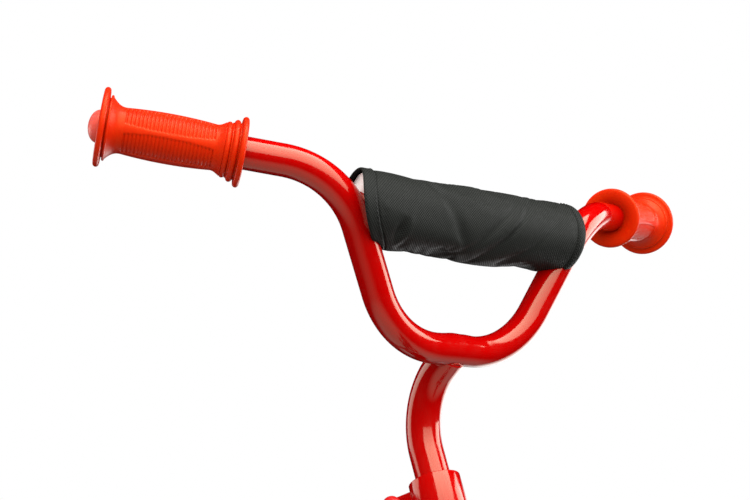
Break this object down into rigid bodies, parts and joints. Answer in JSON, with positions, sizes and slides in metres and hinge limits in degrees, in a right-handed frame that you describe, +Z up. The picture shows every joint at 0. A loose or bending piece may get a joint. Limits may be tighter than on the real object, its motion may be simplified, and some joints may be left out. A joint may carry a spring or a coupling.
{
  "type": "balance bike",
  "caption": "Child's balance bike: air tyres on spoked wheels, step-through steel frame, padded saddle, curved stem and braced handlebar with a fabric pad and flanged grips.",
  "frame": {"origin": "on the ground, midway between the two tyres", "axes": "+X forwards, +Y to the rider's left, +Z up"},
  "size_m": [0.862, 0.5338, 0.666],
  "materials": {
    "red_paint": "gloss",
    "bar_paint": "gloss",
    "grip_rubber": "satin, slightly translucent",
    "pad_fabric": "fine woven, matte",
    "pad_foam": "soft foam, matte",
    "tyre_rubber": "matte",
    "tube_rubber": "matte",
    "rim_alloy": "satin",
    "spoke_steel": "bright",
    "hub_alloy": "polished",
    "ball_steel": "polished",
    "zinc_steel": "zinc plated",
    "chrome_parts": "polished",
    "red_plastic": "gloss",
    "black_plastic": "fine grained",
    "saddle_vinyl": "fine grained, satin"
  },
  "bodies": {
    "frame": {"head_tube": "red_paint", "main_tube": "red_paint", "seat_tube": "red_paint", "lower_stays": "red_paint", "upper_stays": "red_paint", "rear_dropout_left": "red_paint", "rear_dropout_right": "red_paint", "seat_tube_plug": "black_plastic", "lower_cup": "chrome_parts", "upper_cup": "chrome_parts", "lower_ball_ring": "ball_steel", "upper_ball_ring": "ball_steel", "seat_clamp": "red_paint", "seat_clamp_bolt": "zinc_steel", "seat_clamp_nut": "zinc_steel", "rear_axle": "zinc_steel", "rear_axle_spacers": "zinc_steel", "rear_washers": "zinc_steel", "rear_axle_nuts": "zinc_steel", "rear_nut_caps": "red_plastic"},
    "fork": {"steerer_tube": "red_paint", "fork_crown": "red_paint", "fork_blades": "red_paint", "fork_dropout_left": "red_paint", "fork_dropout_right": "red_paint", "crown_race": "chrome_parts", "top_race": "chrome_parts", "lock_nut": "chrome_parts", "stem_collar": "bar_paint", "stem_clamp_bolt": "zinc_steel", "stem_clamp_nut": "zinc_steel", "stem_clamp_cap": "red_plastic", "front_axle": "zinc_steel", "front_axle_spacers": "zinc_steel", "front_washers": "zinc_steel", "front_axle_nuts": "zinc_steel", "front_nut_caps": "red_plastic"},
    "bar": {"stem": "bar_paint", "handlebar": "bar_paint", "crossbar": "bar_paint", "grip_left": "grip_rubber", "grip_right": "grip_rubber", "bar_pad_foam": "pad_foam", "bar_pad_cover": "pad_fabric"},
    "front_wheel": {"front_tyre": "tyre_rubber", "front_inner_tube": "tube_rubber", "front_rim": "rim_alloy", "front_spokes": "spoke_steel", "front_hub": "hub_alloy", "front_bearings": "ball_steel"},
    "rear_wheel": {"rear_tyre": "tyre_rubber", "rear_inner_tube": "tube_rubber", "rear_rim": "rim_alloy", "rear_spokes": "spoke_steel", "rear_hub": "hub_alloy", "rear_bearings": "ball_steel"},
    "saddle": {"seatpost": "chrome_parts", "saddle_base": "black_plastic", "saddle_pad": "saddle_vinyl", "saddle_screws": "zinc_steel"}
  },
  "joints": [
    {"name": "steering", "type": "hinge", "parent": "frame", "child": "fork", "pos_m": [0.18233, 0, 0.3416], "axis": [-0.3827, 0, 0.9239], "range_deg": [-90, 90]},
    {"name": "bar_height", "type": "slide", "parent": "fork", "child": "bar", "axis": [-0.3827, 0, 0.9239], "range_m": [-0.015, 0.045]},
    {"name": "front_spin", "type": "hinge", "parent": "fork", "child": "front_wheel", "pos_m": [0.285, 0, 0.146], "axis": [0, 1, 0], "continuous": true},
    {"name": "rear_spin", "type": "hinge", "parent": "frame", "child": "rear_wheel", "pos_m": [-0.285, 0, 0.146], "axis": [0, 1, 0], "continuous": true},
    {"name": "seat_height", "type": "slide", "parent": "frame", "child": "saddle", "axis": [-0.2419, 0, 0.9703], "range_m": [0, 0.07]}
  ]
}
